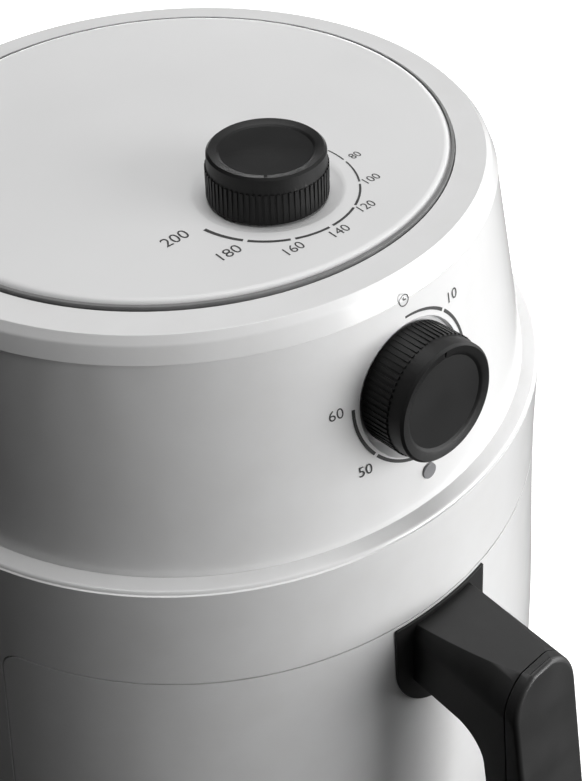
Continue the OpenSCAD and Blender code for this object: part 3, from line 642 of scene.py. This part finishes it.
# breaks of the temperature arc, in degrees from the front towards +X
ARC_ENDS = (-80.7, -53.4, -25.3, 0.7, 26.3, 52.9, 80.5, 97.0)
TEMPERATURES = {  # angle from the front towards +X, number's radius, width, height
    200: (-86.6, 41.6, 9.6, 4.9), 180: (-58.5, 39.0, 8.2, 4.4), 160: (-26.9, 36.6, 7.2, 4.0),
    140: (1.5, 35.5, 7.0, 3.8), 120: (29.3, 35.4, 6.6, 3.7), 100: (56.8, 36.3, 6.5, 3.6),
    80: (82.4, 36.9, 4.4, 3.5),
}
for degrees, (angle, radius, width, height) in TEMPERATURES.items():
    turn = math.radians(angle)
    print_mesh(f"temperature_{degrees}", lettering(str(degrees), width, height),
               shifted(lid_place, radius * math.sin(turn), -radius * math.cos(turn)))
for index, (start, end) in enumerate(zip(ARC_ENDS, ARC_ENDS[1:])):
    first = start + (ARC_GAP if index else 0)
    last = end - (ARC_GAP if index < len(ARC_ENDS) - 2 else 0)
    # clockwise from +Y: an angle a from the front towards +X is 180 - a
    wide = [1.35 - 0.8 * (a - ARC_ENDS[0]) / (ARC_ENDS[-1] - ARC_ENDS[0]) for a in (first, last)]
    arc = ribbon(DIAL_ARC, 180 - last, 180 - first, wide[1], wide[0])
    print_mesh(f"temperature_arc_{index}", arc, lid_place)

TIMER_ARC = 25.5
# breaks of the timer's arc, in degrees clockwise from the top
TIMER_ENDS = (0, 41.0, 92.4, 138.6, 184.8, 231.0, 277.2)
MINUTES = {  # angle clockwise from the top, number's radius
    10: (46.2, 31.4), 20: (104.0, 28.4), 30: (138.6, 31.4), 50: (231.0, 31.4), 60: (277.2, 31.4),
}
for minutes, (angle, radius) in MINUTES.items():
    turn = math.radians(angle)
    print_mesh(f"minutes_{minutes}", lettering(str(minutes), 5.0, 3.7),
               shifted(on_wall, radius * math.sin(turn), radius * math.cos(turn)))
for index, (start, end) in enumerate(zip(TIMER_ENDS, TIMER_ENDS[1:])):
    first = start + (ARC_GAP if index else -2.0)
    last = end - (ARC_GAP if index < len(TIMER_ENDS) - 2 else 0)
    print_mesh(f"minutes_arc_{index}", ribbon(TIMER_ARC, first, last, 1.2 if index else 0.8, 1.2), on_wall)

CLOCK_UP = 31.6
clock_place = shifted(on_wall, CLOCK_UP * math.sin(math.radians(-1)), CLOCK_UP)
print_mesh("clock_ring", ribbon(2.0, 0, 359.9, 0.38, 0.38), clock_place)
for name, turn in (("clock_hand_up", 0.0), ("clock_hand_side", 90.0)):
    hand = bmesh.new()
    bmesh.ops.create_grid(hand, x_segments=2, y_segments=2, size=0.5)
    bmesh.ops.scale(hand, vec=(0.34, 1.3, 1), verts=hand.verts)
    bmesh.ops.translate(hand, vec=(0, 0.55, 0), verts=hand.verts)
    bmesh.ops.rotate(hand, cent=(0, 0, 0), matrix=Matrix.Rotation(-math.radians(turn), 3, "Z"),
                     verts=hand.verts)
    print_mesh(name, hand, clock_place)


# ---- Floor, lights and camera ----
WORLD_STRENGTH = 0.5
FOCAL_PX = 1343
PICTURE_PX = 781
SENSOR_MM = 36


def stage():
    """A plain pale floor."""
    mesh = bmesh.new()
    bmesh.ops.create_grid(mesh, x_segments=1, y_segments=1, size=6.0)
    data = bpy.data.meshes.new("floor")
    mesh.to_mesh(data)
    mesh.free()
    f = Finish("pale floor")
    data.materials.append(f.set(Base_Color=grey(0.9), Roughness=0.9, Emission_Color=grey(1.0),
                                Emission_Strength=0.6))
    floor = bpy.data.objects.new("floor", data)
    bpy.context.collection.objects.link(floor)
    floor.visible_diffuse = False
    floor.visible_glossy = False


def area_light(name, place, aim, size, power):
    """White rectangular light, in metres and watts."""
    data = bpy.data.lights.new(name, "AREA")
    data.shape = "RECTANGLE"
    data.size, data.size_y = size
    data.energy = power
    light = bpy.data.objects.new(name, data)
    light.location = place
    light.rotation_euler = (Vector(aim) - Vector(place)).to_track_quat("-Z", "Y").to_euler()
    light.visible_camera = False
    bpy.context.collection.objects.link(light)


def camera():
    """Camera from the upper front left, in radians and millimetres."""
    turn, pitch, roll = -0.7414, 0.5047, -0.0085
    back = Vector((math.sin(turn) * math.cos(pitch), -math.cos(turn) * math.cos(pitch), math.sin(pitch)))
    right = (-back).cross(Vector((0, 0, 1))).normalized()
    up = right.cross(-back)
    side = math.cos(roll) * right + math.sin(roll) * up
    top = -math.sin(roll) * right + math.cos(roll) * up
    data = bpy.data.cameras.new("camera")
    data.lens = FOCAL_PX * SENSOR_MM / PICTURE_PX
    data.shift_x = -0.0553
    data.shift_y = -0.3735
    data.clip_start = 0.01
    eye = bpy.data.objects.new("camera", data)
    place = Vector((-245.6, -347.6 + AXIS_Y, 555.2)) * MM
    eye.matrix_world = Matrix.Translation(place) @ Matrix((side, top, back)).transposed().to_4x4()
    bpy.context.collection.objects.link(eye)
    bpy.context.scene.camera = eye


def studio():
    """A room that is light on the right and dark on the left."""
    world = bpy.data.worlds.new("studio")
    world.use_nodes = True
    f = Nodes(world.node_tree)
    toward = f.node("VectorMath", {"operation": "DOT_PRODUCT"},
                    {0: f.node("TexCoord", output="Generated"), 1: (0.80, -0.45, 0.40)}, "Value")
    light = 0.03 + 0.57 * f.range(toward, 0.0, 0.85)
    background = world.node_tree.nodes["Background"]
    join(f.tree, background.inputs["Color"], light)
    join(f.tree, background.inputs["Strength"], WORLD_STRENGTH)
    bpy.context.scene.world = world


stage()
area_light("key", (1.15, -1.8, 0.8), (0, 0, 0.16), (1.5, 1.1), 25.5)
area_light("top", (0.3, 0.3, 2.2), (0, 0, 0.3), (1.5, 1.5), 28)
area_light("fill", (1.8, -0.8, 0.25), (0, 0, 0.1), (1.0, 0.4), 11)
area_light("rear", (1.0, 1.25, 0.26), (0, 0.1, 0.16), (1.4, 0.4), 14)
area_light("low fill", (0.9, -1.75, 0.1), (0.05, -0.13, 0.05), (1.2, 0.3), 19)
studio()
bpy.context.scene.view_settings.view_transform = "Standard"
camera()
